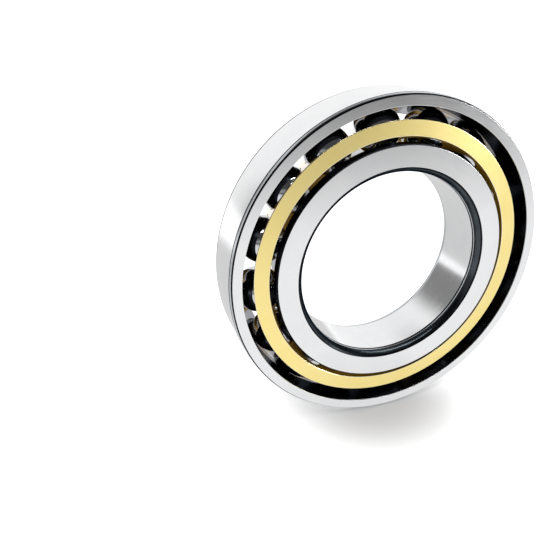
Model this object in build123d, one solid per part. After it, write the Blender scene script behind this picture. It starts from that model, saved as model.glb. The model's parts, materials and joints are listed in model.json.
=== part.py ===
"""Single-row angular contact ball bearing with a machined brass cage.

The shaft axis is +Y and the origin is the bearing's centre, with +Z up. The front is the -Y side:
there the inner ring's face is wide and the outer ring's is thin. At the back it is the other way
round, because the rings' high shoulders carry the thrust along a slanted contact line.
All sizes are in millimetres. Profiles are drawn with X as the radius and Y as the shaft axis.
"""
import os
from math import acos, cos, radians, sin, sqrt

from build123d import *

# ---- Boundary sizes: 02 dimension series, bore code 16 ----
bore_diameter = 80.0
outside_diameter = 140.0
width = 26.0

# ---- Balls ----
ball_diameter = 19.05  # three quarters of an inch
ball_count = 16
contact_angle = 40.0  # degrees, between the contact line and the plane of the balls
pitch_offset = 0.3  # how far the balls' circle lies outside the middle of the rings' section
first_ball_angle = 6.5  # degrees, where ball_01 stands at rest, from +X towards +Z

# ---- Raceways ----
groove_conformity = 0.525  # groove radius, as a share of the ball's diameter
raceway_clearance = 0.03  # between ball and groove along the contact line
shoulder_share = 0.3  # height of the high shoulders, as a share of the ball's diameter
outer_lip_height = 0.2  # the ridge that holds the balls in, above the bottom of the groove
outer_mouth_relief = 0.15  # the open side's mouth is this much wider than the groove
inner_relief = 0.35  # the inner ring's low side falls this far below its groove

# ---- Corners and edge breaks, as radial by axial lengths ----
wide_corner_radial = 2.5  # beside the wide faces
wide_corner_axial = 3.8
thin_corner_radial = 0.9  # beside the thin faces
thin_corner_axial = 2.5
outer_edge_break = 0.3
inner_edge_break = 0.5

# ---- Cage: a turned brass cone with a round pocket for each ball ----
cage_front_recess = 1.8  # from the front faces to the cage's front rim
cage_back_recess = 1.6
cage_front_outer_gap = 4.9  # from the outer ring's mouth to the front rim
cage_front_inner_gap = 2.4  # from the inner ring's shoulder to the front rim
cage_back_outer_gap = 6.7  # from the outer ring's shoulder to the back rim
cage_back_inner_gap = 2.2  # from the inner ring's low side to the back rim
cage_edge_break = 0.25
pocket_clearance = 0.2  # all round each ball

# ---- Worked out from the sizes above ----
bore_radius = bore_diameter / 2
outside_radius = outside_diameter / 2
front_face = -width / 2
back_face = width / 2
ball_radius = ball_diameter / 2
pitch_radius = (bore_radius + outside_radius) / 2 + pitch_offset
groove_radius = groove_conformity * ball_diameter
shoulder_height = shoulder_share * ball_diameter

# A groove's centre lies across the ball from its contact, on the contact line.
groove_shift = groove_radius - ball_radius - raceway_clearance
groove_shift_radial = groove_shift * cos(radians(contact_angle))
groove_shift_axial = groove_shift * sin(radians(contact_angle))
outer_groove_centre = (pitch_radius - groove_shift_radial, -groove_shift_axial)
inner_groove_centre = (pitch_radius + groove_shift_radial, groove_shift_axial)

outer_groove_bottom = outer_groove_centre[0] + groove_radius
outer_shoulder = outer_groove_bottom - shoulder_height
outer_lip = outer_groove_bottom - outer_lip_height
outer_mouth = outer_groove_bottom + outer_mouth_relief
inner_groove_bottom = inner_groove_centre[0] - groove_radius
inner_shoulder = inner_groove_bottom + shoulder_height
inner_low_side = inner_groove_bottom - inner_relief

cage_front = front_face + cage_front_recess
cage_back = back_face - cage_back_recess
cage_front_outer = outer_mouth - cage_front_outer_gap
cage_front_inner = inner_shoulder + cage_front_inner_gap
cage_back_outer = outer_shoulder - cage_back_outer_gap
cage_back_inner = inner_low_side + cage_back_inner_gap
pocket_radius = ball_radius + pocket_clearance


def corner(cylinder_radius, side, face, radial, axial):
    """A ring's corner arc, tangent to the cylinder: its end on the cylinder, then its end on the face.

    side is +1 where the metal lies outside the cylinder, as in the bore, and -1 where it lies inside.
    """
    inward = 1 if face < 0 else -1
    on_cylinder = (cylinder_radius, face + inward * axial)
    on_face = (cylinder_radius + side * radial, face)
    return TangentArc(on_cylinder, on_face, tangent=(0, -inward)), on_cylinder, on_face


def groove_height(centre, radius):
    """Half the axial length of a raceway groove at a given radius."""
    return sqrt(groove_radius**2 - (radius - centre[0]) ** 2)


def turned(edges):
    """The ring that a closed profile makes when it is turned about the shaft axis."""
    return revolve(make_face(Wire(edges)), Axis.Y, 360)


def outer_ring():
    front_arc, front_top, front_edge = corner(
        outside_radius, -1, front_face, thin_corner_radial, thin_corner_axial)
    back_arc, back_top, back_edge = corner(
        outside_radius, -1, back_face, wide_corner_radial, wide_corner_axial)
    centre_axial = outer_groove_centre[1]
    lip = (outer_lip, centre_axial - groove_height(outer_groove_centre, outer_lip))
    groove_bottom = (outer_groove_bottom, centre_axial)
    groove_end = (outer_shoulder, centre_axial + groove_height(outer_groove_centre, outer_shoulder))
    mouth = (outer_mouth, front_face + outer_edge_break)
    mouth_edge = (outer_mouth + outer_edge_break / 2, front_face)
    shoulder_end = (outer_shoulder, back_face - outer_edge_break)
    shoulder_edge = (outer_shoulder + outer_edge_break, back_face)
    return turned([
        front_arc,
        Line(front_edge, mouth_edge),
        Line(mouth_edge, mouth),
        Line(mouth, lip),
        ThreePointArc(lip, groove_bottom, groove_end),
        Line(groove_end, shoulder_end),
        Line(shoulder_end, shoulder_edge),
        Line(shoulder_edge, back_edge),
        back_arc,
        Line(back_top, front_top),
    ])


def inner_ring():
    front_arc, front_top, front_edge = corner(
        bore_radius, 1, front_face, wide_corner_radial, wide_corner_axial)
    back_arc, back_top, back_edge = corner(
        bore_radius, 1, back_face, thin_corner_radial, thin_corner_axial)
    centre_radius, centre_axial = inner_groove_centre
    groove_end = (inner_shoulder, centre_axial - groove_height(inner_groove_centre, inner_shoulder))
    groove_bottom = (inner_groove_bottom, centre_axial)
    # a third point on the groove, halfway round between its two ends
    half_turn = acos((groove_radius - shoulder_height) / groove_radius) / 2
    groove_middle = (centre_radius - groove_radius * cos(half_turn),
                     centre_axial - groove_radius * sin(half_turn))
    shoulder_end = (inner_shoulder, front_face + inner_edge_break)
    shoulder_edge = (inner_shoulder - inner_edge_break, front_face)
    low_end = (inner_low_side, back_face - inner_edge_break)
    low_edge = (inner_low_side - inner_edge_break / 2, back_face)
    return turned([
        front_arc,
        Line(front_edge, shoulder_edge),
        Line(shoulder_edge, shoulder_end),
        Line(shoulder_end, groove_end),
        ThreePointArc(groove_end, groove_middle, groove_bottom),
        Line(groove_bottom, low_end),
        Line(low_end, low_edge),
        Line(low_edge, back_edge),
        back_arc,
        Line(back_top, front_top),
    ])


def ball_angle(index):
    """Where ball number index stands at rest, in degrees from +X towards +Z."""
    return first_ball_angle + index * 360 / ball_count


def at_ball(index, shape):
    """A shape made at the first ball's place on +X, turned to the place of ball number index."""
    return Rotation(0, -ball_angle(index), 0) * Pos(pitch_radius, 0, 0) * shape


def cage_pocket():
    """What each pocket takes away: a ball-shaped seat, drilled straight out through the outer wall."""
    drilling_length = outside_radius - pitch_radius
    drilling = Rotation(0, 90, 0) * Cylinder(
        pocket_radius, drilling_length, align=(Align.CENTER, Align.CENTER, Align.MIN))
    return Sphere(pocket_radius) + drilling


def cage():
    cone = turned(Polyline(
        (cage_front_inner + cage_edge_break, cage_front),
        (cage_front_outer - cage_edge_break, cage_front),
        (cage_front_outer, cage_front + cage_edge_break),
        (cage_back_outer, cage_back - cage_edge_break),
        (cage_back_outer - cage_edge_break, cage_back),
        (cage_back_inner + cage_edge_break, cage_back),
        (cage_back_inner, cage_back - cage_edge_break),
        (cage_front_inner, cage_front + cage_edge_break),
        close=True,
    ).edges())
    return cone - [at_ball(index, cage_pocket()) for index in range(ball_count)]


def ball(index):
    return at_ball(index, Sphere(ball_radius))


pieces = {"outer_ring": outer_ring(), "inner_ring": inner_ring(), "cage": cage()}
for index in range(ball_count):
    pieces[f"ball_{index + 1:02d}"] = ball(index)

os.makedirs("parts", exist_ok=True)
for name, solid in pieces.items():
    export_step(solid, f"parts/{name}.step")
print(f"pitch radius {pitch_radius:.3f}, grooves {outer_groove_bottom:.3f} and {inner_groove_bottom:.3f}")
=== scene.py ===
# %% [markdown]
# # An angular contact bearing
# The bearing has two steel rings, sixteen steel balls and a brass cage. The rings are turned on a
# lathe and then ground, and the cage is turned and drilled, so almost every surface is an outline
# carried round the shaft axis, which is +Y here. The front is the -Y side, where the inner ring's
# face is wide and the outer ring's is thin.
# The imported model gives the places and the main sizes. They are read from it rather than typed
# again, so that the looks can't drift away from the design.

# %% Load the frame
from math import acos, asin, atan2, cos, pi, radians, sin, sqrt, tan

import json

import bmesh
import bpy
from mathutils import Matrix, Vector

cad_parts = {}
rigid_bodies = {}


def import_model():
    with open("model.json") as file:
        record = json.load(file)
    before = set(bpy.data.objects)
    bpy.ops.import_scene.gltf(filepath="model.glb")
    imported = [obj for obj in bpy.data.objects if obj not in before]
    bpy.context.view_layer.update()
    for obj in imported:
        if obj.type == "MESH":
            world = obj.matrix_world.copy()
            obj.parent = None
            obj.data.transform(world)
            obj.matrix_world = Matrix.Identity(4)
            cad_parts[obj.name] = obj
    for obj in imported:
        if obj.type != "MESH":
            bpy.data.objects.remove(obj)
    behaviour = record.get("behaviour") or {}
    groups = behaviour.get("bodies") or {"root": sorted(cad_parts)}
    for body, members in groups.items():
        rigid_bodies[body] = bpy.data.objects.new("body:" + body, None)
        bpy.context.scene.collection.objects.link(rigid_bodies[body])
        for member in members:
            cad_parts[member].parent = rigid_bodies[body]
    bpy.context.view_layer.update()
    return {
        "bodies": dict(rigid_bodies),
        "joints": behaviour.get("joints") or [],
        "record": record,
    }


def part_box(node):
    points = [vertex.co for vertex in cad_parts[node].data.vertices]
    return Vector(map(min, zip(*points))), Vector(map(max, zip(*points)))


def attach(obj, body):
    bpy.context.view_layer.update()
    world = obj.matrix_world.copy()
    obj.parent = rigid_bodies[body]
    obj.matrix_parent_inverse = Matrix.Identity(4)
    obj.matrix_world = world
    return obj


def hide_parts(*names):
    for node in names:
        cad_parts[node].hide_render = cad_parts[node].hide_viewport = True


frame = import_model()

# %% [markdown]
# ## Sizes
# Outlines are drawn in millimetres, as on a workshop drawing, and become metres only when a mesh is
# made. The seats in the record give the bore, the outside diameter and how long the straight part
# of each is, and so how far the corners reach. The joints give the balls' places and the slant
# of the contact line. The sizes that the record doesn't hold follow as named values.

# %% Sizes from the frame
MM = 0.001
seats = {mount["name"]: mount for mount in frame["record"]["mounts"]}
spins = {joint["child"]: joint for joint in frame["joints"]}
ball_names = sorted(name for name in frame["bodies"] if name.startswith("ball_"))
ball_count = len(ball_names)

bore_radius = seats["shaft_seat"]["dims"]["r_mm"]
outside_radius = seats["housing_seat"]["dims"]["r_mm"]
back_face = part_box("outer_ring")[1].y / MM
front_face = -back_face

first_centre = Vector(spins[ball_names[0]]["pos_m"]) / MM
first_ball_angle = atan2(first_centre.z, first_centre.x)
pitch_radius = first_centre.length
contact_angle = acos(spins[ball_names[0]]["axis"][1])

cage_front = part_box("cage")[0].y / MM
cage_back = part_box("cage")[1].y / MM
print(f"{ball_count} balls on a circle of {2 * pitch_radius:.2f} mm, contact at {contact_angle:.3f} rad")


# %% Sizes of the raceways, corners and cage
ball_diameter = 19.05  # three quarters of an inch
ball_radius = ball_diameter / 2
groove_conformity = 0.525  # groove radius, as a share of the ball's diameter
shoulder_share = 0.3  # height of the high shoulders, as a share of the ball's diameter
raceway_clearance = 0.03
lip_height = 0.2  # the ridge that keeps the balls in, above the bottom of the outer groove
mouth_relief = 0.15  # the outer ring's open side is this much wider than its groove
low_side_relief = 0.35  # the inner ring's low side falls this far below its groove
wide_corner_radial = 2.5
thin_corner_radial = 0.9
outer_edge_break = 0.3
inner_edge_break = 0.5
cage_front_outer_gap = 4.9  # from the outer ring's mouth to the cage's front rim
cage_front_inner_gap = 2.4  # from the inner ring's shoulder to the front rim
cage_back_outer_gap = 6.7  # from the outer ring's shoulder to the back rim
cage_back_inner_gap = 2.2  # from the inner ring's low side to the back rim
pocket_clearance = 0.2

# A groove's centre lies across the ball from its contact, on the contact line.
groove_radius = groove_conformity * ball_diameter
groove_shift = groove_radius - ball_radius - raceway_clearance
shift_radial = groove_shift * cos(contact_angle)
shift_axial = groove_shift * sin(contact_angle)
outer_groove = (pitch_radius - shift_radial, -shift_axial)
inner_groove = (pitch_radius + shift_radial, shift_axial)

shoulder_height = shoulder_share * ball_diameter
outer_groove_bottom = outer_groove[0] + groove_radius
outer_shoulder = outer_groove_bottom - shoulder_height
outer_lip = outer_groove_bottom - lip_height
outer_mouth = outer_groove_bottom + mouth_relief
inner_groove_bottom = inner_groove[0] - groove_radius
inner_shoulder = inner_groove_bottom + shoulder_height
inner_low_side = inner_groove_bottom - low_side_relief

cage_front_outer = outer_mouth - cage_front_outer_gap
cage_front_inner = inner_shoulder + cage_front_inner_gap
cage_back_outer = outer_shoulder - cage_back_outer_gap
cage_back_inner = inner_low_side + cage_back_inner_gap
pocket_radius = ball_radius + pocket_clearance
print(f"grooves end at {outer_groove_bottom:.3f} and {inner_groove_bottom:.3f} mm from the axis")

# %% [markdown]
# ## Small helpers for node trees
# Every node in this script is added by one function, whether it works on shapes or on surfaces.
# An input that is given a socket is linked to it, and any other input is set to the value.

# %% A node with its settings and links
def add(tree, kind, settings=None, inputs=None):
    node = tree.nodes.new(kind)
    for name, value in (settings or {}).items():
        setattr(node, name, value)
    for name, value in (inputs or {}).items():
        if isinstance(value, bpy.types.NodeSocket):
            tree.links.new(value, node.inputs[name])
        else:
            node.inputs[name].default_value = value
    return node


def shape_tree(name, *sizes):
    """A Geometry Nodes tree with a geometry input and output, and a named input for each size."""
    tree = bpy.data.node_groups.new(name, "GeometryNodeTree")
    tree.interface.new_socket("Geometry", in_out="INPUT", socket_type="NodeSocketGeometry")
    for size_name, kind in sizes:
        tree.interface.new_socket(size_name, in_out="INPUT", socket_type=kind)
    tree.interface.new_socket("Geometry", in_out="OUTPUT", socket_type="NodeSocketGeometry")
    return tree, tree.nodes.new("NodeGroupInput").outputs


def made_by(tree, name, start, values):
    """A plain mesh object: what the tree makes of a start mesh, with these values for its inputs."""
    rough = bpy.data.objects.new(name + "_rough", start)
    bpy.context.scene.collection.objects.link(rough)
    modifier = rough.modifiers.new("shape", "NODES")
    modifier.node_group = tree
    for item in tree.interface.items_tree:
        if item.in_out == "INPUT" and item.name in values:
            modifier[item.identifier] = values[item.name]
    evaluated = rough.evaluated_get(bpy.context.evaluated_depsgraph_get())
    mesh = bpy.data.meshes.new_from_object(evaluated)
    bpy.data.objects.remove(rough)
    mesh.name = name
    given = list(mesh.materials)
    used = [material for material in given if material]
    indices = [used.index(given[face.material_index]) for face in mesh.polygons]
    mesh.materials.clear()
    for material in used:
        mesh.materials.append(material)
    mesh.polygons.foreach_set("material_index", indices)
    form = bmesh.new()
    form.from_mesh(mesh)
    bmesh.ops.recalc_face_normals(form, faces=form.faces)
    form.to_mesh(mesh)
    form.free()
    if "finish" in mesh.attributes:
        mesh.attributes.remove(mesh.attributes["finish"])
    piece = bpy.data.objects.new(name, mesh)
    bpy.context.scene.collection.objects.link(piece)
    return piece


# %% [markdown]
# ## Colours
# Hex colours are sRGB, the way a screen shows them. The shaders work on linear light, so one
# function turns each colour over.

# %% Hex colour to linear light
def linear(hex_colour):
    parts = [int(hex_colour[i:i + 2], 16) / 255 for i in (1, 3, 5)]
    return (*[p / 12.92 if p <= 0.04045 else ((p + 0.055) / 1.055) ** 2.4 for p in parts], 1.0)


# %% [markdown]
# ## Tool marks that run round the shaft
# A lathe tool and a grinding wheel both leave fine lines that run round the axis. On a disc they are
# circles, and on a cylinder they are rings. One noise pattern serves for both: it is stretched
# round the axis and fine across it. The angle itself would leave a seam, so the noise reads the
# direction away from the axis as a point on a circle, the distance from the axis, and the height
# along it as the fourth coordinate.

# %% A streak pattern from Object coordinates
streak_detail = 2.0


def streaks(tree, spacing, length):
    """A noise value that is fine across the tool marks and long along them. Both sizes are in mm."""
    place = add(tree, "ShaderNodeTexCoord").outputs["Object"]
    split = add(tree, "ShaderNodeSeparateXYZ", None, {0: place})
    flat = add(tree, "ShaderNodeCombineXYZ", None, {"X": split.outputs["X"], "Z": split.outputs["Z"]})
    reach = add(tree, "ShaderNodeVectorMath", {"operation": "LENGTH"}, {0: flat.outputs[0]})
    away = add(tree, "ShaderNodeVectorMath", {"operation": "NORMALIZE"}, {0: flat.outputs[0]})
    across = add(tree, "ShaderNodeMath", {"operation": "MULTIPLY"},
                 {0: reach.outputs["Value"], 1: 1 / (spacing * MM)})
    along_axis = add(tree, "ShaderNodeMath", {"operation": "MULTIPLY"},
                     {0: split.outputs["Y"], 1: 1 / (spacing * MM)})
    circle = add(tree, "ShaderNodeVectorMath", {"operation": "SCALE"},
                 {0: away.outputs[0], "Scale": pitch_radius / length})
    raised = add(tree, "ShaderNodeCombineXYZ", None, {"Y": across.outputs[0]})
    point = add(tree, "ShaderNodeVectorMath", {"operation": "ADD"},
                {0: circle.outputs[0], 1: raised.outputs[0]})
    noise = add(tree, "ShaderNodeTexNoise", {"noise_dimensions": "4D"}, {
        "Vector": point.outputs[0], "W": along_axis.outputs[0], "Scale": 1.0, "Detail": streak_detail})
    return noise.outputs["Fac"]


# %% [markdown]
# ## The metals
# A bare metal has no colour below its gloss: the reflection itself is tinted. So Metallic is 1, the
# base colour is the tint, and the rest of the look is how rough the surface is and which way its
# marks run. A picture of brushed metal would need a flat map of every piece and would blur close
# up. So one function makes every metal from the same streaks, and only sizes and tints tell them
# apart. The streaks drive colour, gloss and height together, as real marks do. Marks smear a
# reflection across themselves, so the shader's tangent runs round the shaft.

# %% A metal with tool marks
cloud_size = 9.0  # mm, the slightly darker and lighter patches that oil and handling leave
cloud_detail = 3.0
streak_share = 0.7  # how much the streaks count in the colour, where the patches count as 1
noise_low, noise_high = 0.3, 0.7  # a noise value is mostly between these
quarter_turn = 0.25  # turns the smear from along the tangent to across it
oil_roughness = 0.05
oil_ior = 1.47  # mineral oil


def metal(name, colours, roughness, marks, brushed, oiled=0.0, edge_tint="#FFFFFF"):
    """A metal whose colour, gloss and height follow its tool marks.

    marks holds the spacing, length and depth of the tool marks in mm. brushed, from 0 to 1, is how
    much further the marks spread a reflection across themselves than along themselves. oiled is 1
    under a film of oil. edge_tint is less than white where a dark skin dulls grazing reflections.
    """
    spacing, length, depth = marks
    material = bpy.data.materials.new(name)
    material.use_nodes = True
    tree = material.node_tree
    tree.nodes.clear()
    pattern = streaks(tree, spacing, length)
    cloud_place = add(tree, "ShaderNodeTexCoord").outputs["Object"]
    cloud = add(tree, "ShaderNodeTexNoise", None,
                {"Vector": cloud_place, "Scale": 1 / (cloud_size * MM), "Detail": cloud_detail})
    patchy = add(tree, "ShaderNodeMath", {"operation": "MULTIPLY_ADD"},
                 {0: pattern, 1: streak_share, 2: cloud.outputs["Fac"]})
    shade = add(tree, "ShaderNodeMath", {"operation": "DIVIDE"},
                {0: patchy.outputs[0], 1: 1 + streak_share})
    lightness = add(tree, "ShaderNodeMapRange", None, {
        "Value": shade.outputs[0], "From Min": noise_low, "From Max": noise_high})
    tint = add(tree, "ShaderNodeMix", {"data_type": "RGBA"},
               {0: lightness.outputs["Result"], 6: linear(colours[0]), 7: linear(colours[1])})
    gloss = add(tree, "ShaderNodeMapRange", None, {
        "Value": pattern, "From Min": noise_low, "From Max": noise_high,
        "To Min": roughness[0], "To Max": roughness[1]})
    bump = add(tree, "ShaderNodeBump", None, {"Height": pattern, "Strength": 1.0, "Distance": depth * MM})
    round_shaft = add(tree, "ShaderNodeTangent", {"direction_type": "RADIAL", "axis": "Y"})
    shader = add(tree, "ShaderNodeBsdfPrincipled", None, {
        "Base Color": tint.outputs[2],
        "Metallic": 1.0,
        "Roughness": gloss.outputs["Result"],
        "Anisotropic": brushed,
        "Anisotropic Rotation": quarter_turn,
        "Normal": bump.outputs["Normal"],
        "Tangent": round_shaft.outputs["Tangent"],
        "Specular Tint": linear(edge_tint),
        "Coat Weight": oiled,
        "Coat Roughness": oil_roughness,
        "Coat IOR": oil_ior,
    })
    add(tree, "ShaderNodeOutputMaterial", None, {"Surface": shader.outputs[0]})
    return material


# %% [markdown]
# The rings are hardened steel. They are turned first, which leaves feed lines, then hardened in a furnace,
# which leaves a dark skin called scale, and last the faces, the seats and the grooves are ground. The
# corners are never ground, so they keep their skin and frame every bright face with a dark line; near-black
# painted shade at the corners' ends deepens that line, and bright painted highlights run along some
# corners. The cage is finely turned brass.

# %% The steel finishes
# Ground steel, on faces and seats: a pale, soft mirror with only a slight smear. The wheel's lines
# are about a hundredth of a millimetre apart, and are drawn 0.35 mm apart so that they show.
ground_steel = metal("ground bearing steel", ("#E2E3E4", "#EAEAEB"), (0.15, 0.21),
                     (0.35, 9.0, 0.0002), 0.15)
# Scale over feed lines, on the big corners: a blue-grey band with a dull shine that breaks into
# rings. The lines are about 0.2 mm apart, and are drawn 0.8 mm apart so that they show.
scaled_steel = metal("turned steel with its hardening scale", ("#272C30", "#50565B"), (0.16, 0.28),
                     (0.8, 40.0, 0.006), 0.4, edge_tint="#8A9096")
# Near-black steel, painted as shade, on the land beside the grooves, in the outer ring's mouth, on some
# edge breaks and at the ends of the corners: nearly black, with a faint shine at a grazing angle. The feed
# lines have their real spacing.
shade_black_steel = metal("near-black steel painted as shade", ("#16171A", "#212326"), (0.20, 0.30),
                    (0.25, 14.0, 0.001), 0.3, edge_tint="#B8BABE")
# A painted highlight: a band of pale steel along the dark corners and on some edge breaks draws a thin
# bright line. The feed lines have their real spacing.
highlight_band_steel = metal("bright steel band painted as a highlight", ("#BEC2C5", "#CED1D4"), (0.20, 0.28),
                     (0.2, 14.0, 0.0004), 0.3)
# Honed steel, in the grooves: smoother than a ground face, so it shows the balls as darker, sharper
# reflections. A hone's lines are far too fine to see, and are drawn 0.2 mm apart so that they show.
raceway_steel = metal("honed raceway steel", ("#B4B4B6", "#C2C2C4"), (0.08, 0.14),
                      (0.2, 20.0, 0.0003), 0.4)
# Lapped steel, on the balls: a true mirror. Lapping leaves no lines, so there is no height and no
# smear, and the pattern only clouds the tint a little.
ball_steel = metal("lapped ball steel", ("#CACBCD", "#D2D3D5"), (0.03, 0.05), (0.5, 2.0, 0.0), 0.0)

# %% The brass finishes
# Fine turned brass, on the cage's two rims: pale gold with a satin shine that swings round the rim
# from light to dark. The feed lines have their real spacing.
rim_brass = metal("fine turned brass", ("#F9E392", "#FCEAA2"), (0.36, 0.40), (0.22, 25.0, 0.0002), 0.4)
# Paler, smoother brass on the rims' rounded edges: the paler colour is a painted highlight, a thin pale
# line of light round each rim.
brass_edge_highlight = metal("brass edge with a painted highlight", ("#FFF0C0", "#FFF6D4"), (0.14, 0.18), (0.22, 25.0, 0.0), 0.0)
# Fine turned brass under a film of oil, on the cage's outer cone: a gold tinted deeper than the rims' brass
# as painted shade, with the oil's own sharp white reflections over it. The feed lines are drawn a little
# apart so that they show.
shaded_cone_brass = metal("fine turned brass cone", ("#E0AE3C", "#EABC50"), (0.30, 0.38),
                   (0.3, 18.0, 0.0004), 0.3, oiled=1.0)
# Drilled and turned brass, in the pockets and on the inner cone: a dull gold, tinted deeper and more
# saturated than the rims' brass as painted shade, because light reaches it only after it has met other
# brass. The lines are drawn a little apart so that they show.
shaded_inner_brass = metal("turned and drilled brass", ("#E2AC2E", "#ECBE44"), (0.54, 0.64),
                    (0.3, 18.0, 0.0006), 0.3)
print(len(bpy.data.materials), "metals")

# %% [markdown]
# ## The rings
# A ring is one closed outline carried round the axis. The outline is written as runs: each run is a
# straight line or an arc with one finish. Real ground edges are never knife sharp, so
# every sudden turn of the outline gets a tiny rounding, which is what catches a line of light. A
# point is added beside each rounding to keep the shading of the flat face flat.

# %% Outlines
edge_rounding = 0.25  # how far a rounding reaches along each side of a square edge
edge_steps = 4
edge_guard = 0.12  # how far beyond a rounding the extra point stands
longest_trim = 0.3  # a rounding takes at most this share of the stretch beside it
room_for_guard = 4  # a stretch this many times longer than its rounding gets the extra point
sharp_turn = radians(12)
corner_steps = 12


def arc(centre, start, end, steps):
    """Points along the arc about a centre from start to end, both included."""
    begin = atan2(start[1] - centre[1], start[0] - centre[0])
    turn = atan2(end[1] - centre[1], end[0] - centre[0]) - begin
    turn = (turn + pi) % (2 * pi) - pi
    radius = sqrt((start[0] - centre[0]) ** 2 + (start[1] - centre[1]) ** 2)
    angles = [begin + turn * step / steps for step in range(steps + 1)]
    return [(centre[0] + radius * cos(a), centre[1] + radius * sin(a)) for a in angles]


def corner(cylinder_radius, side, face, radial, axial):
    """A corner from cylinder to face, tangent to the cylinder. side is +1 in the bore, -1 outside."""
    inward = 1 if face < 0 else -1
    radius = (radial**2 + axial**2) / (2 * radial)
    centre = (cylinder_radius + side * radius, face + inward * axial)
    on_cylinder = (cylinder_radius, face + inward * axial)
    on_face = (cylinder_radius + side * radial, face)
    return arc(centre, on_cylinder, on_face, corner_steps)


def rounded(runs):
    """The closed outline of several runs, as points and the finish of the edge that follows each."""
    stations = [(Vector(p), finish) for finish, points in runs for p in points[:-1]]
    result = []
    for i, (here, finish) in enumerate(stations):
        before, finish_before = stations[i - 1]
        after = stations[(i + 1) % len(stations)][0]
        arriving, leaving = here - before, after - here
        turn = arriving.angle(leaving)
        if turn < sharp_turn:
            result.append((here, finish))
            continue
        trim = min(edge_rounding * tan(turn / 2), longest_trim * arriving.length,
                   longest_trim * leaving.length)
        start = here - arriving.normalized() * trim
        end = here + leaving.normalized() * trim
        if arriving.length > room_for_guard * (trim + edge_guard):
            result.append((start - arriving.normalized() * edge_guard, finish_before))
        for step in range(edge_steps + 1):
            t = step / edge_steps
            point = start * (1 - t) ** 2 + here * 2 * t * (1 - t) + end * t**2
            result.append((point, finish_before if t < 0.5 else finish))
        if leaving.length > room_for_guard * (trim + edge_guard):
            result.append((end + leaving.normalized() * edge_guard, finish))
    return result


def outline_mesh(name, runs):
    """A loop of edges in the plane of the axis and +X, with each edge's finish as an attribute."""
    stations = rounded(runs)
    count = len(stations)
    mesh = bpy.data.meshes.new(name)
    points = [(p[0] * MM, p[1] * MM, 0) for p, _ in stations]
    mesh.from_pydata(points, [(i, (i + 1) % count) for i in range(count)], [])
    attribute = mesh.attributes.new("finish", "INT", "POINT")
    attribute.data.foreach_set("value", [finish for _, finish in stations])
    return mesh


# %% [markdown]
# Geometry Nodes do the turning. A grid has one row for each station of the outline and one column
# for each step round the axis, and every grid point is then moved to its station, turned by its
# angle. The grid's two edges meet on themselves and are merged. Blender's Screw and Spin tools would
# make the same form, but here the finishes come along with the faces.

# %% The turning tree
turn_steps = 288  # round the axis
outline_weld = 0.001  # mm
GROUND, SCALE, BLACK, RACEWAY, BRIGHT_BAND = range(5)
ring_finishes = {"Ground": ground_steel, "Scale": scaled_steel, "Black": shade_black_steel,
                 "Raceway": raceway_steel, "Bright band": highlight_band_steel}


def finished(tree, shape, materials):
    """Gives each face the material that its finish attribute numbers."""
    stored = add(tree, "GeometryNodeInputNamedAttribute", {"data_type": "INT"}, {"Name": "finish"})
    for number, material in enumerate(materials):
        chosen = add(tree, "FunctionNodeCompare", {"data_type": "INT", "operation": "EQUAL"},
                     {2: stored.outputs[0], 3: number})
        shape = add(tree, "GeometryNodeSetMaterial", None,
                    {"Geometry": shape, "Selection": chosen.outputs[0], "Material": material}).outputs[0]
    return shape


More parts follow.
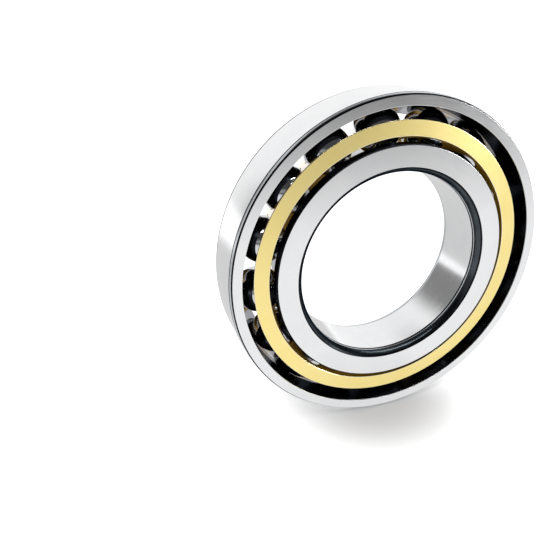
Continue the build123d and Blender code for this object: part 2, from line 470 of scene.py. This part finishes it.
def turning_tree():
    tree, given = shape_tree(
        "turn an outline about the shaft", ("Steps", "NodeSocketInt"),
        *[(name, "NodeSocketMaterial") for name in ring_finishes])
    outline = given["Geometry"]
    size = add(tree, "GeometryNodeAttributeDomainSize", {"component": "MESH"}, {"Geometry": outline})
    stations = size.outputs["Point Count"]
    rows = add(tree, "ShaderNodeMath", {"operation": "ADD"}, {0: stations, 1: 1.0})
    columns = add(tree, "ShaderNodeMath", {"operation": "ADD"}, {0: given["Steps"], 1: 1.0})
    grid = add(tree, "GeometryNodeMeshGrid", None,
               {"Vertices X": rows.outputs[0], "Vertices Y": columns.outputs[0]})
    index = add(tree, "GeometryNodeInputIndex").outputs[0]

    def row_of(per_row):
        rows_before = add(tree, "ShaderNodeMath", {"operation": "DIVIDE"}, {0: index, 1: per_row})
        return add(tree, "ShaderNodeMath", {"operation": "FLOOR"}, {0: rows_before.outputs[0]}).outputs[0]

    row = row_of(columns.outputs[0])
    station = add(tree, "ShaderNodeMath", {"operation": "MODULO"}, {0: row, 1: stations})
    column = add(tree, "ShaderNodeMath", {"operation": "MODULO"}, {0: index, 1: columns.outputs[0]})
    share = add(tree, "ShaderNodeMath", {"operation": "DIVIDE"}, {0: column.outputs[0], 1: given["Steps"]})
    angle = add(tree, "ShaderNodeMath", {"operation": "MULTIPLY"}, {0: share.outputs[0], 1: -2 * pi})
    place = add(tree, "GeometryNodeInputPosition").outputs[0]
    sample = add(tree, "GeometryNodeSampleIndex", {"data_type": "FLOAT_VECTOR", "domain": "POINT"},
                 {"Geometry": outline, "Value": place, "Index": station.outputs[0]})
    turned = add(tree, "ShaderNodeVectorRotate", {"rotation_type": "Y_AXIS"},
                 {"Vector": sample.outputs[0], "Angle": angle.outputs[0]})
    skin = add(tree, "GeometryNodeSetPosition", None,
               {"Geometry": grid.outputs["Mesh"], "Position": turned.outputs[0]})

    finish = add(tree, "GeometryNodeInputNamedAttribute", {"data_type": "INT"}, {"Name": "finish"})
    face_finish = add(tree, "GeometryNodeSampleIndex", {"data_type": "INT", "domain": "POINT"},
                      {"Geometry": outline, "Value": finish.outputs[0], "Index": row_of(given["Steps"])})
    marked = add(tree, "GeometryNodeStoreNamedAttribute", {"data_type": "INT", "domain": "FACE"},
                 {"Geometry": skin.outputs[0], "Name": "finish", "Value": face_finish.outputs[0]})
    welded = add(tree, "GeometryNodeMergeByDistance", None,
                 {"Geometry": marked.outputs[0], "Distance": outline_weld * MM})
    smooth = add(tree, "GeometryNodeSetShadeSmooth", None, {"Geometry": welded.outputs[0]})
    real = add(tree, "GeometryNodeRealizeInstances", None, {"Geometry": smooth.outputs[0]})
    shape = finished(tree, real.outputs[0], [given[name] for name in ring_finishes])
    add(tree, "NodeGroupOutput", None, {"Geometry": shape})
    return tree


turning = turning_tree()
ring_values = {"Steps": turn_steps, **ring_finishes}
print("turned rings have", turn_steps, "steps and", len(ring_finishes), "finishes")

# %% [markdown]
# The outer ring's thin front face ends in a mouth that the balls went in through. Behind it come a tiny
# lip, the groove, and the high shoulder that carries the thrust. The corners lie in bands: bright steel
# along the thin front corner is a painted highlight, near-black steel at the corners' ends is painted
# shade, and the wide back corner keeps its scale between.

# %% The outer ring
outer_groove_steps = 28


def seat_span(name):
    """Where a seat's straight cylinder starts and ends along the axis, in millimetres."""
    middle = seats[name]["pos_m"][1] / MM
    half = seats[name]["dims"]["length_mm"] / 2
    return middle - half, middle + half


def banded(points, *bands):
    """A corner in bands of different finish, each given with the number of the step where it ends."""
    starts = [0] + [end for _, end in bands]
    return [(finish, points[start:end + 1]) for (finish, end), start in zip(bands, starts)]


def backwards(runs):
    """The same runs from the last point to the first."""
    return [(finish, points[::-1]) for finish, points in reversed(runs)]


def groove_half(centre, radius):
    """Half the axial width of a groove at a distance from the axis."""
    return sqrt(groove_radius**2 - (radius - centre[0]) ** 2)


def outer_ring_runs():
    seat_start, seat_end = seat_span("housing_seat")
    front_corner = corner(outside_radius, -1, front_face, thin_corner_radial, seat_start - front_face)
    back_corner = corner(outside_radius, -1, back_face, wide_corner_radial, back_face - seat_end)
    lip = (outer_lip, outer_groove[1] - groove_half(outer_groove, outer_lip))
    groove_end = (outer_shoulder, outer_groove[1] + groove_half(outer_groove, outer_shoulder))
    mouth = (outer_mouth, front_face + outer_edge_break)
    mouth_edge = (outer_mouth + outer_edge_break / 2, front_face)
    shoulder_end = (outer_shoulder, back_face - outer_edge_break)
    shoulder_edge = (outer_shoulder + outer_edge_break, back_face)
    # bright bands on the front corner and edge breaks are painted highlights; near-black runs in the mouth,
    # on the land and at the corners' ends are painted shade
    return [
        *banded(front_corner, (BLACK, 3), (BRIGHT_BAND, 8), (BLACK, corner_steps)),
        (GROUND, [front_corner[-1], mouth_edge]),
        (BRIGHT_BAND, [mouth_edge, mouth]),
        (BLACK, [mouth, lip]),
        (RACEWAY, arc(outer_groove, lip, groove_end, outer_groove_steps)),
        (BLACK, [groove_end, shoulder_end]),
        (BRIGHT_BAND, [shoulder_end, shoulder_edge]),
        (GROUND, [shoulder_edge, back_corner[-1]]),
        *backwards(banded(back_corner, (BLACK, 1), (SCALE, 10), (BLACK, corner_steps))),
        (GROUND, [back_corner[0], front_corner[0]]),
    ]


outer_outline = outline_mesh("outer outline", outer_ring_runs())
outer_ring = made_by(turning, "outer_ring_turned", outer_outline, ring_values)
print("outer ring", len(outer_ring.data.polygons), "faces", [m.name for m in outer_ring.data.materials])

# %% [markdown]
# The inner ring is the other way round: its wide front face tops the high shoulder, and behind the
# groove its outline runs level to a thin back face. The front corner of the bore is the widest
# dark band on the bearing, because the scale is left on nearly all of it.

# %% The inner ring
inner_groove_steps = 24


def inner_ring_runs():
    seat_start, seat_end = seat_span("shaft_seat")
    front_corner = corner(bore_radius, 1, front_face, wide_corner_radial, seat_start - front_face)
    back_corner = corner(bore_radius, 1, back_face, thin_corner_radial, back_face - seat_end)
    groove_end = (inner_shoulder, inner_groove[1] - groove_half(inner_groove, inner_shoulder))
    groove_bottom = (inner_groove_bottom, inner_groove[1])
    shoulder_end = (inner_shoulder, front_face + inner_edge_break)
    shoulder_edge = (inner_shoulder - inner_edge_break, front_face)
    low_end = (inner_low_side, back_face - inner_edge_break)
    low_edge = (inner_low_side - inner_edge_break / 2, back_face)
    # bright bands on the corners are painted highlights; near-black runs on the land, the edge breaks and
    # the corners' ends are painted shade
    return [
        *banded(front_corner, (BLACK, 2), (BRIGHT_BAND, 3), (SCALE, 10), (BLACK, corner_steps)),
        (GROUND, [front_corner[-1], shoulder_edge]),
        (BLACK, [shoulder_edge, shoulder_end]),
        (BLACK, [shoulder_end, groove_end]),
        (RACEWAY, arc(inner_groove, groove_end, groove_bottom, inner_groove_steps)),
        (RACEWAY, [groove_bottom, low_end]),
        (BLACK, [low_end, low_edge]),
        (GROUND, [low_edge, back_corner[-1]]),
        *backwards(banded(back_corner, (BRIGHT_BAND, 6), (BLACK, corner_steps))),
        (GROUND, [back_corner[0], front_corner[0]]),
    ]


inner_outline = outline_mesh("inner outline", inner_ring_runs())
inner_ring = made_by(turning, "inner_ring_turned", inner_outline, ring_values)
print("inner ring", len(inner_ring.data.polygons), "faces")


# %% [markdown]
# ## The balls
# A ball is lapped until it is round to a fraction of a micrometre and shines like a mirror. A UV
# sphere would pinch the reflections at its poles, so the ball starts as a cube with a fine grid on
# each side, and every point is pushed out to the same distance from the centre. The tangent spreads
# the grid lines evenly over the ball. One tree makes all the balls, and each gets its own place
# and its own turn, because balls never line up.

# %% The ball tree
def ball_tree():
    tree, given = shape_tree(
        "lapped ball", ("Radius", "NodeSocketFloat"), ("Divisions", "NodeSocketInt"),
        ("Centre", "NodeSocketVector"), ("Turn", "NodeSocketVector"), ("Steel", "NodeSocketMaterial"))
    cube = add(tree, "GeometryNodeMeshCube", None, {
        "Size": (2, 2, 2), "Vertices X": given["Divisions"], "Vertices Y": given["Divisions"],
        "Vertices Z": given["Divisions"]})
    place = add(tree, "GeometryNodeInputPosition").outputs[0]
    angle = add(tree, "ShaderNodeVectorMath", {"operation": "SCALE"}, {0: place, "Scale": pi / 4})
    even = add(tree, "ShaderNodeVectorMath", {"operation": "TANGENT"}, {0: angle.outputs[0]})
    away = add(tree, "ShaderNodeVectorMath", {"operation": "NORMALIZE"}, {0: even.outputs[0]})
    out = add(tree, "ShaderNodeVectorMath", {"operation": "SCALE"},
              {0: away.outputs[0], "Scale": given["Radius"]})
    ball = add(tree, "GeometryNodeSetPosition", None,
               {"Geometry": cube.outputs["Mesh"], "Position": out.outputs[0]})
    placed = add(tree, "GeometryNodeTransform", None, {
        "Geometry": ball.outputs[0], "Translation": given["Centre"], "Rotation": given["Turn"]})
    smooth = add(tree, "GeometryNodeSetShadeSmooth", None, {"Geometry": placed.outputs[0]})
    real = add(tree, "GeometryNodeRealizeInstances", None, {"Geometry": smooth.outputs[0]})
    shape = add(tree, "GeometryNodeSetMaterial", None,
                {"Geometry": real.outputs[0], "Material": given["Steel"]})
    add(tree, "NodeGroupOutput", None, {"Geometry": shape.outputs[0]})
    return tree


# %% The sixteen balls
ball_divisions = 25
ball_turn = (0.7, 1.1, 0.4)  # radians about X, Y and Z that each ball is turned beyond the last
ball_shape = ball_tree()
balls = {}
for number, name in enumerate(ball_names):
    balls[name] = made_by(ball_shape, name + "_lapped", bpy.data.meshes.new("empty"), {
        "Radius": ball_radius * MM,
        "Divisions": ball_divisions,
        "Centre": spins[name]["pos_m"],
        "Turn": tuple(angle * number for angle in ball_turn),
        "Steel": ball_steel,
    })
print(len(balls), "balls of", len(balls[ball_names[0]].data.polygons), "faces")

# %% [markdown]
# ## The cage
# The cage is one piece of brass: a cone is turned on a lathe, and a round pocket for each ball is
# then drilled through it from outside, down to a ball-shaped seat. Cutting the pockets with a
# Boolean would leave ragged triangles where the edges should shine, so one sector with one pocket is
# worked out point by point. Chains of points run from the sector's border on the outer cone to
# the pocket's edge, down the pocket's wall, and back out to the border on the inner cone.

# %% Places on one sector of the cage
rim_break = 0.3
pocket_break = 0.25
half_sector = pi / ball_count
halvings = 40  # enough to find an edge to less than a micrometre
surface_shares = (0.0, 0.12, 0.4, 0.7, 1.0)  # closer together beside the border
rim_shares = (0.0, 0.33, 0.67, 1.0)
wall_steps = 14
side_steps = 16
rim_steps = 20
OUTER, INNER = 0, 1


def cone_radius(side, axial):
    """The radius of the outer or inner cone at a place along the axis."""
    front, back = ((cage_front_outer, cage_back_outer), (cage_front_inner, cage_back_inner))[side]
    return front + (back - front) * (axial - cage_front) / (cage_back - cage_front)


def on_cone(side, axial, angle):
    """A point of a cone, from its place along the axis and its angle."""
    radius = cone_radius(side, axial)
    return Vector((radius * cos(angle), axial, radius * sin(angle)))


def pocket_edge(side, direction):
    """How far the pocket's edge on one cone lies from the drill's axis, in a direction."""
    near, far = 0.0, pocket_radius
    for _ in range(halvings):
        reach = (near + far) / 2
        axial, across = reach * direction[0], reach * direction[1]
        depth = min(sqrt(cone_radius(side, axial) ** 2 - across**2) - pitch_radius, 0.0)
        if depth**2 + reach**2 < pocket_radius**2:
            near = reach
        else:
            far = reach
    return far


def on_cone_at(side, reach, direction):
    """The point of a cone that lies this far from the drill's axis, in a direction."""
    axial, across = reach * direction[0], reach * direction[1]
    return Vector((sqrt(cone_radius(side, axial) ** 2 - across**2), axial, across))


def on_wall(depth, direction):
    """The point of the pocket's wall at a distance from the shaft axis, in a direction."""
    reach = sqrt(pocket_radius**2 - min(depth - pitch_radius, 0.0) ** 2)
    return Vector((depth, reach * direction[0], reach * direction[1]))


def bend(start, middle, end):
    """Points along a small rounding, both ends included."""
    shares = [step / edge_steps for step in range(edge_steps + 1)]
    return [start * (1 - t) ** 2 + middle * 2 * t * (1 - t) + end * t**2 for t in shares]


# %% Chains of points on the sector
def surface_chain(side, border, direction):
    """From the sector's border to the pocket's broken edge, on one cone."""
    edge = pocket_edge(side, direction)
    near = on_cone_at(side, edge + pocket_break + edge_guard, direction)
    near_place = (near.y, asin(near.z / cone_radius(side, near.y)))
    steps = [(border[0] + (near_place[0] - border[0]) * t, border[1] + (near_place[1] - border[1]) * t)
             for t in surface_shares]
    return [on_cone(side, *place) for place in steps]


def wall_chain(direction):
    """From the outer pocket edge down to the inner one, with both edges broken."""
    outer_reach, inner_reach = pocket_edge(OUTER, direction), pocket_edge(INNER, direction)
    outer_sharp = on_cone_at(OUTER, outer_reach, direction)
    inner_sharp = on_cone_at(INNER, inner_reach, direction)
    top, bottom = outer_sharp.x - pocket_break, inner_sharp.x + pocket_break
    wall = [on_wall(top + (bottom - top) * step / wall_steps, direction) for step in range(wall_steps + 1)]
    entry = bend(on_cone_at(OUTER, outer_reach + pocket_break, direction), outer_sharp, wall[0])
    leaving = bend(wall[-1], inner_sharp, on_cone_at(INNER, inner_reach + pocket_break, direction))
    return entry + wall[1:-1] + leaving


def sector_border():
    """Places round the sector, as axial place and angle: up one side, across the back, down, across."""
    low, high = cage_front + rim_break, cage_back - rim_break
    up = [(low + (high - low) * i / side_steps, half_sector) for i in range(side_steps)]
    back = [(high, half_sector * (1 - 2 * i / rim_steps)) for i in range(rim_steps)]
    down = [(high + (low - high) * i / side_steps, -half_sector) for i in range(side_steps)]
    front = [(low, -half_sector * (1 - 2 * i / rim_steps)) for i in range(rim_steps)]
    return up + back + down + front


def rim_chain(edge_axial, face, angle):
    """Across a rim, from the outer cone to the inner cone, with both edges rounded."""
    outer, inner = cone_radius(OUTER, face), cone_radius(INNER, face)

    def at(radius, axial):
        return Vector((radius * cos(angle), axial, radius * sin(angle)))

    into = bend(on_cone(OUTER, edge_axial, angle), at(outer, face), at(outer - rim_break, face))
    out = bend(at(inner + rim_break, face), at(inner, face), on_cone(INNER, edge_axial, angle))
    guard_out = at(outer - rim_break - edge_guard, face)
    guard_in = at(inner + rim_break + edge_guard, face)
    middle = [guard_out.lerp(guard_in, t) for t in rim_shares]
    return into + middle + out


# %% The sector's mesh
RIM, CONE, POCKET, HIGHLIGHT_EDGE = range(4)


def sector_mesh():
    points, faces, finishes = [], [], []

    def strip(chains, finish_of, closed):
        start = len(points)
        length = len(chains[0])
        for chain in chains:
            points.extend(p * MM for p in chain)
        for i in range(len(chains) if closed else len(chains) - 1):
            j = (i + 1) % len(chains)
            for k in range(length - 1):
                a, b = start + i * length + k, start + j * length + k
                faces.append((a, b, b + 1, a + 1))
                finishes.append(finish_of(k))

    border = sector_border()
    chains = []
    for axial, angle in border:
        direction = Vector((axial, angle * pitch_radius)).normalized()
        outer = surface_chain(OUTER, (axial, angle), direction)
        inner = surface_chain(INNER, (axial, angle), direction)
        chains.append(outer + wall_chain(direction) + inner[::-1])
    # the turned cone ends halfway round the pocket's broken edge
    cone_end = len(surface_shares) + edge_steps // 2
    strip(chains, lambda k: CONE if k < cone_end else POCKET, True)
    for face, edge in ((cage_front, cage_front + rim_break), (cage_back, cage_back - rim_break)):
        angles = [half_sector * (1 - 2 * i / rim_steps) for i in range(rim_steps + 1)]
        rim = [rim_chain(edge, face, angle) for angle in angles]
        rim_end = len(rim[0]) - 1 - edge_steps
        # the rims' rounded edges take the brass with the painted highlight
        strip(rim, lambda k, end=rim_end: RIM if edge_steps <= k < end else HIGHLIGHT_EDGE, False)
    mesh = bpy.data.meshes.new("cage sector")
    mesh.from_pydata(points, [], faces)
    mesh.attributes.new("finish", "INT", "FACE").data.foreach_set("value", finishes)
    return mesh


# %% [markdown]
# Geometry Nodes set the sector round the shaft once for each ball, make the copies real and weld
# them into one closed piece.

# %% The cage tree
cage_finishes = {"Rim": rim_brass, "Cone": shaded_cone_brass, "Pocket": shaded_inner_brass, "Highlight edge": brass_edge_highlight}
sector_weld = 0.002  # mm


def cage_tree():
    tree, given = shape_tree(
        "sectors round the shaft", ("Count", "NodeSocketInt"), ("First angle", "NodeSocketFloat"),
        *[(name, "NodeSocketMaterial") for name in cage_finishes])
    points = add(tree, "GeometryNodeMeshLine", None, {"Count": given["Count"], "Offset": (0, 0, 0)})
    index = add(tree, "GeometryNodeInputIndex").outputs[0]
    share = add(tree, "ShaderNodeMath", {"operation": "DIVIDE"}, {0: index, 1: given["Count"]})
    turn = add(tree, "ShaderNodeMath", {"operation": "MULTIPLY_ADD"},
               {0: share.outputs[0], 1: 2 * pi, 2: given["First angle"]})
    back = add(tree, "ShaderNodeMath", {"operation": "MULTIPLY"}, {0: turn.outputs[0], 1: -1.0})
    rotation = add(tree, "ShaderNodeCombineXYZ", None, {"Y": back.outputs[0]})
    copies = add(tree, "GeometryNodeInstanceOnPoints", None, {
        "Points": points.outputs[0], "Instance": given["Geometry"], "Rotation": rotation.outputs[0]})
    real = add(tree, "GeometryNodeRealizeInstances", None, {"Geometry": copies.outputs[0]})
    welded = add(tree, "GeometryNodeMergeByDistance", None,
                 {"Geometry": real.outputs[0], "Distance": sector_weld * MM})
    smooth = add(tree, "GeometryNodeSetShadeSmooth", None, {"Geometry": welded.outputs[0]})
    shape = finished(tree, smooth.outputs[0], [given[name] for name in cage_finishes])
    add(tree, "NodeGroupOutput", None, {"Geometry": shape})
    return tree


cage = made_by(cage_tree(), "cage_machined", sector_mesh(), {
    "Count": ball_count, "First angle": first_ball_angle, **cage_finishes})
print("cage", len(cage.data.polygons), "faces")

# %% [markdown]
# ## Pieces ride on the frame
# Each piece stands for its plain CAD node, which is hidden, and rides on that node's body.

# %% Rides and replaced nodes
riders = {"outer_ring": outer_ring, "inner_ring": inner_ring, "cage": cage, **balls}
for node, piece in riders.items():
    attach(piece, node)
    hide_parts(node)
    low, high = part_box(node)
    points = [v.co for v in piece.data.vertices]
    gap = max(max(abs(min(p[i] for p in points) - low[i]), abs(max(p[i] for p in points) - high[i]))
              for i in range(3))
    print(f"{node}: within {gap / MM:.3f} mm of its CAD box")

# %% [markdown]
# ## The studio
# Polished metal shows the room it stands in. The floor is white paper with a painted pool of light near the
# bearing that fades towards the front. The wall behind is white, and the outer cylinder and the bore
# reflect it.
# The rest of the room is dim, which gives the steel its dark tones. Lamps alone could light this,
# but a curved mirror would show each of them as a hard patch, so the paper and the room glow by
# themselves, and two lamps only add shine. The camera itself sees white paper in a white room.

# %% The floor
half_floor = 4.0
floor_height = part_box("outer_ring")[0].z
floor_mesh = bpy.data.meshes.new("floor")
floor_mesh.from_pydata(
    [(-half_floor, -half_floor, floor_height), (half_floor, -half_floor, floor_height),
     (half_floor, half_floor, floor_height), (-half_floor, half_floor, floor_height)], [], [(0, 1, 2, 3)])
floor = bpy.data.objects.new("floor", floor_mesh)
bpy.context.scene.collection.objects.link(floor)
print("the floor lies at", round(floor_height, 4))

# %% White paper
soft_step = {"interpolation_type": "SMOOTHSTEP"}
pool_fade = 0.45  # m, over which the pool of light falls off towards the front
pool_strength = 1.66
pool_least = 0.03
pool_most = 1.04
paper_white = 1.45  # as the camera sees it

floor_paper = bpy.data.materials.new("white paper sweep")
floor_paper.use_nodes = True
paper = floor_paper.node_tree
paper.nodes.clear()
paper_place = add(paper, "ShaderNodeTexCoord").outputs["Object"]
paper_split = add(paper, "ShaderNodeSeparateXYZ", None, {0: paper_place})
paper_reach = add(paper, "ShaderNodeVectorMath", {"operation": "LENGTH"}, {0: paper_place})
towards_back = paper_split.outputs["Y"]
from_centre = paper_reach.outputs["Value"]  # 0.07 m where the bearing stands on the paper
# each ramp: what it follows, where it starts and ends in metres, and its level at both
paper_ramps = {
    name: add(paper, "ShaderNodeMapRange", soft_step, {
        "Value": followed, "From Min": start, "From Max": end, "To Min": low, "To Max": high}).outputs[0]
    for name, followed, start, end, low, high in (
        ("clear of the shadow", from_centre, 0.0705, 0.092, 0.1, 1.0),
        ("dimmed at the contact", from_centre, 0.07, 0.1, 0.88, 1.0),
        ("glow at the back", towards_back, 0.26, 0.40, 0.0, 0.6),
        ("dip behind the bearing", towards_back, 0.0, 0.1, 0.0, -0.3),
    )}
# what the metal reflects: a painted pool of light that fades towards the front, a painted glow further
# back, painted shade where the bearing meets the paper and a painted dip just behind it
fade = add(paper, "ShaderNodeMath", {"operation": "DIVIDE"}, {0: towards_back, 1: pool_fade})
fading = add(paper, "ShaderNodeMath", {"operation": "EXPONENT"}, {0: fade.outputs[0]})
pool = add(paper, "ShaderNodeMath", {"operation": "MULTIPLY_ADD"},
           {0: fading.outputs[0], 1: pool_strength, 2: pool_least})
capped = add(paper, "ShaderNodeMath", {"operation": "MINIMUM"}, {0: pool.outputs[0], 1: pool_most})
behind_bearing = add(paper, "ShaderNodeMath", {"operation": "ADD"},
                     {0: paper_ramps["glow at the back"], 1: paper_ramps["dip behind the bearing"]})
reflected = add(paper, "ShaderNodeMath", {"operation": "MULTIPLY_ADD"}, {
    0: capped.outputs[0], 1: paper_ramps["dimmed at the contact"], 2: behind_bearing.outputs[0]})
# what the camera sees: white paper, with real shadow only close to the bearing
seen = add(paper, "ShaderNodeLightPath").outputs["Is Camera Ray"]
glowing = add(paper, "ShaderNodeMix", {"data_type": "FLOAT"},
              {0: seen, 2: 1.0, 3: paper_ramps["clear of the shadow"]})
strength = add(paper, "ShaderNodeMix", {"data_type": "FLOAT"},
               {0: seen, 2: reflected.outputs[0], 3: paper_white})
matt = add(paper, "ShaderNodeBsdfDiffuse", None, {"Color": linear("#F2F2F2")})
glow = add(paper, "ShaderNodeEmission", None, {"Color": (1, 1, 1, 1), "Strength": strength.outputs[0]})
blend = add(paper, "ShaderNodeMixShader", None,
            {0: glowing.outputs[0], 1: matt.outputs[0], 2: glow.outputs[0]})
add(paper, "ShaderNodeOutputMaterial", None, {"Surface": blend.outputs[0]})
floor_mesh.materials.append(floor_paper)

# %% The room
card_heading = radians(44)  # from straight behind towards the left
card_outer, card_inner = radians(24), radians(6)  # the card fades in between these, off its heading
card_grey = 0.17
dim_level = 0.08

world = bpy.data.worlds.new("studio")
bpy.context.scene.world = world
world.use_nodes = True
sky = world.node_tree
sky.nodes.clear()
look = add(sky, "ShaderNodeTexCoord").outputs["Generated"]
look_split = add(sky, "ShaderNodeSeparateXYZ", None, {0: look})
# each ramp: the part of the look direction that it follows, where it starts and ends, and its levels
room_ramps = {
    name: add(sky, "ShaderNodeMapRange", soft_step, {
        "Value": look_split.outputs[part], "From Min": start, "From Max": end,
        "To Min": low, "To Max": high}).outputs[0]
    for name, part, start, end, low, high in (
        ("behind", "Y", -0.15, 0.25, 0.0, 1.0),
        ("below the ceiling", "Z", 0.70, 0.84, 1.0, 0.0),
        ("card height", "Z", 0.42, 0.72, 1.0, 0.0),
        ("ahead", "Y", -0.25, 0.15, 1.0, 0.0),
        ("near the horizon", "Z", 0.12, 0.36, 0.30, 0.0),
    )}
# a grey card behind on the left gives the bore something dark to reflect
level = add(sky, "ShaderNodeCombineXYZ", None, {"X": look_split.outputs["X"], "Y": look_split.outputs["Y"]})
heading = add(sky, "ShaderNodeVectorMath", {"operation": "NORMALIZE"}, {0: level.outputs[0]})
facing = add(sky, "ShaderNodeVectorMath", {"operation": "DOT_PRODUCT"},
             {0: heading.outputs[0], 1: (-sin(card_heading), cos(card_heading), 0)})
card_width = add(sky, "ShaderNodeMapRange", soft_step, {
    "Value": facing.outputs["Value"], "From Min": cos(card_outer), "From Max": cos(card_inner)})
card = add(sky, "ShaderNodeMath", {"operation": "MULTIPLY"},
           {0: card_width.outputs[0], 1: room_ramps["card height"]})
backdrop = add(sky, "ShaderNodeMix", {"data_type": "FLOAT"}, {0: card.outputs[0], 2: 1.0, 3: card_grey})
wall = add(sky, "ShaderNodeMath", {"operation": "MULTIPLY"},
           {0: room_ramps["behind"], 1: room_ramps["below the ceiling"]})
lit = add(sky, "ShaderNodeMath", {"operation": "MULTIPLY"}, {0: wall.outputs[0], 1: backdrop.outputs[0]})
# the front of the room is dim, and a little lighter near the horizon
haze = add(sky, "ShaderNodeMath", {"operation": "MULTIPLY"},
           {0: room_ramps["ahead"], 1: room_ramps["near the horizon"]})
base = add(sky, "ShaderNodeMath", {"operation": "ADD"}, {0: lit.outputs[0], 1: dim_level})
reflected_room = add(sky, "ShaderNodeMath", {"operation": "ADD"}, {0: base.outputs[0], 1: haze.outputs[0]})
seen_room = add(sky, "ShaderNodeLightPath").outputs["Is Camera Ray"]
room = add(sky, "ShaderNodeMath", {"operation": "MAXIMUM"}, {0: reflected_room.outputs[0], 1: seen_room})
light = add(sky, "ShaderNodeBackground", None, {"Color": (1, 1, 1, 1), "Strength": room.outputs[0]})
add(sky, "ShaderNodeOutputWorld", None, {"Surface": light.outputs[0]})
print("the room's card is", round(card_grey, 2), "as bright as its wall")


# %% The lamps
def softbox(name, place, target, width, height, power):
    """A rectangular lamp, in metres and watts, that the camera doesn't see."""
    lamp = bpy.data.lights.new(name, "AREA")
    lamp.shape = "RECTANGLE"
    lamp.size = width
    lamp.size_y = height
    lamp.energy = power
    holder = bpy.data.objects.new(name, lamp)
    holder.location = place
    holder.rotation_euler = (Vector(target) - Vector(place)).to_track_quat("-Z", "Y").to_euler()
    holder.visible_camera = False
    bpy.context.scene.collection.objects.link(holder)


softbox("overhead strip light", (0.35, -0.38, 0.9), (0.2, 0, 0), 1.5, 0.1, 4.5)
softbox("low right light", (0.95, -0.75, 0.10), (0, 0, 0), 0.4, 0.2, 2.9)

# %% [markdown]
# ## The camera
# The camera stands in front of the bearing, to the left and above, where one view takes in the
# faces, the outside and the bore. It aims a little to the left, so the bearing stands right of
# the middle.

# %% The camera's place and lens
camera_azimuth = radians(-18.77)
camera_elevation = radians(25.37)
camera_place = Vector((-0.11474, -0.19707, 0.09731))
camera_data = bpy.data.cameras.new("camera")
camera_data.sensor_width = 36.0
camera_data.lens = 36.85
camera_data.clip_start = 0.01
camera = bpy.data.objects.new("camera", camera_data)
bpy.context.scene.collection.objects.link(camera)
gaze = Vector((-sin(camera_azimuth) * cos(camera_elevation), cos(camera_azimuth) * cos(camera_elevation),
               -sin(camera_elevation)))
camera.location = camera_place
camera.rotation_euler = gaze.to_track_quat("-Z", "Y").to_euler()
bpy.context.scene.camera = camera
bpy.context.scene.view_settings.view_transform = "Standard"
bpy.context.scene.view_settings.look = "None"
print("the camera is", round(camera_place.length, 3), "m from the bearing")
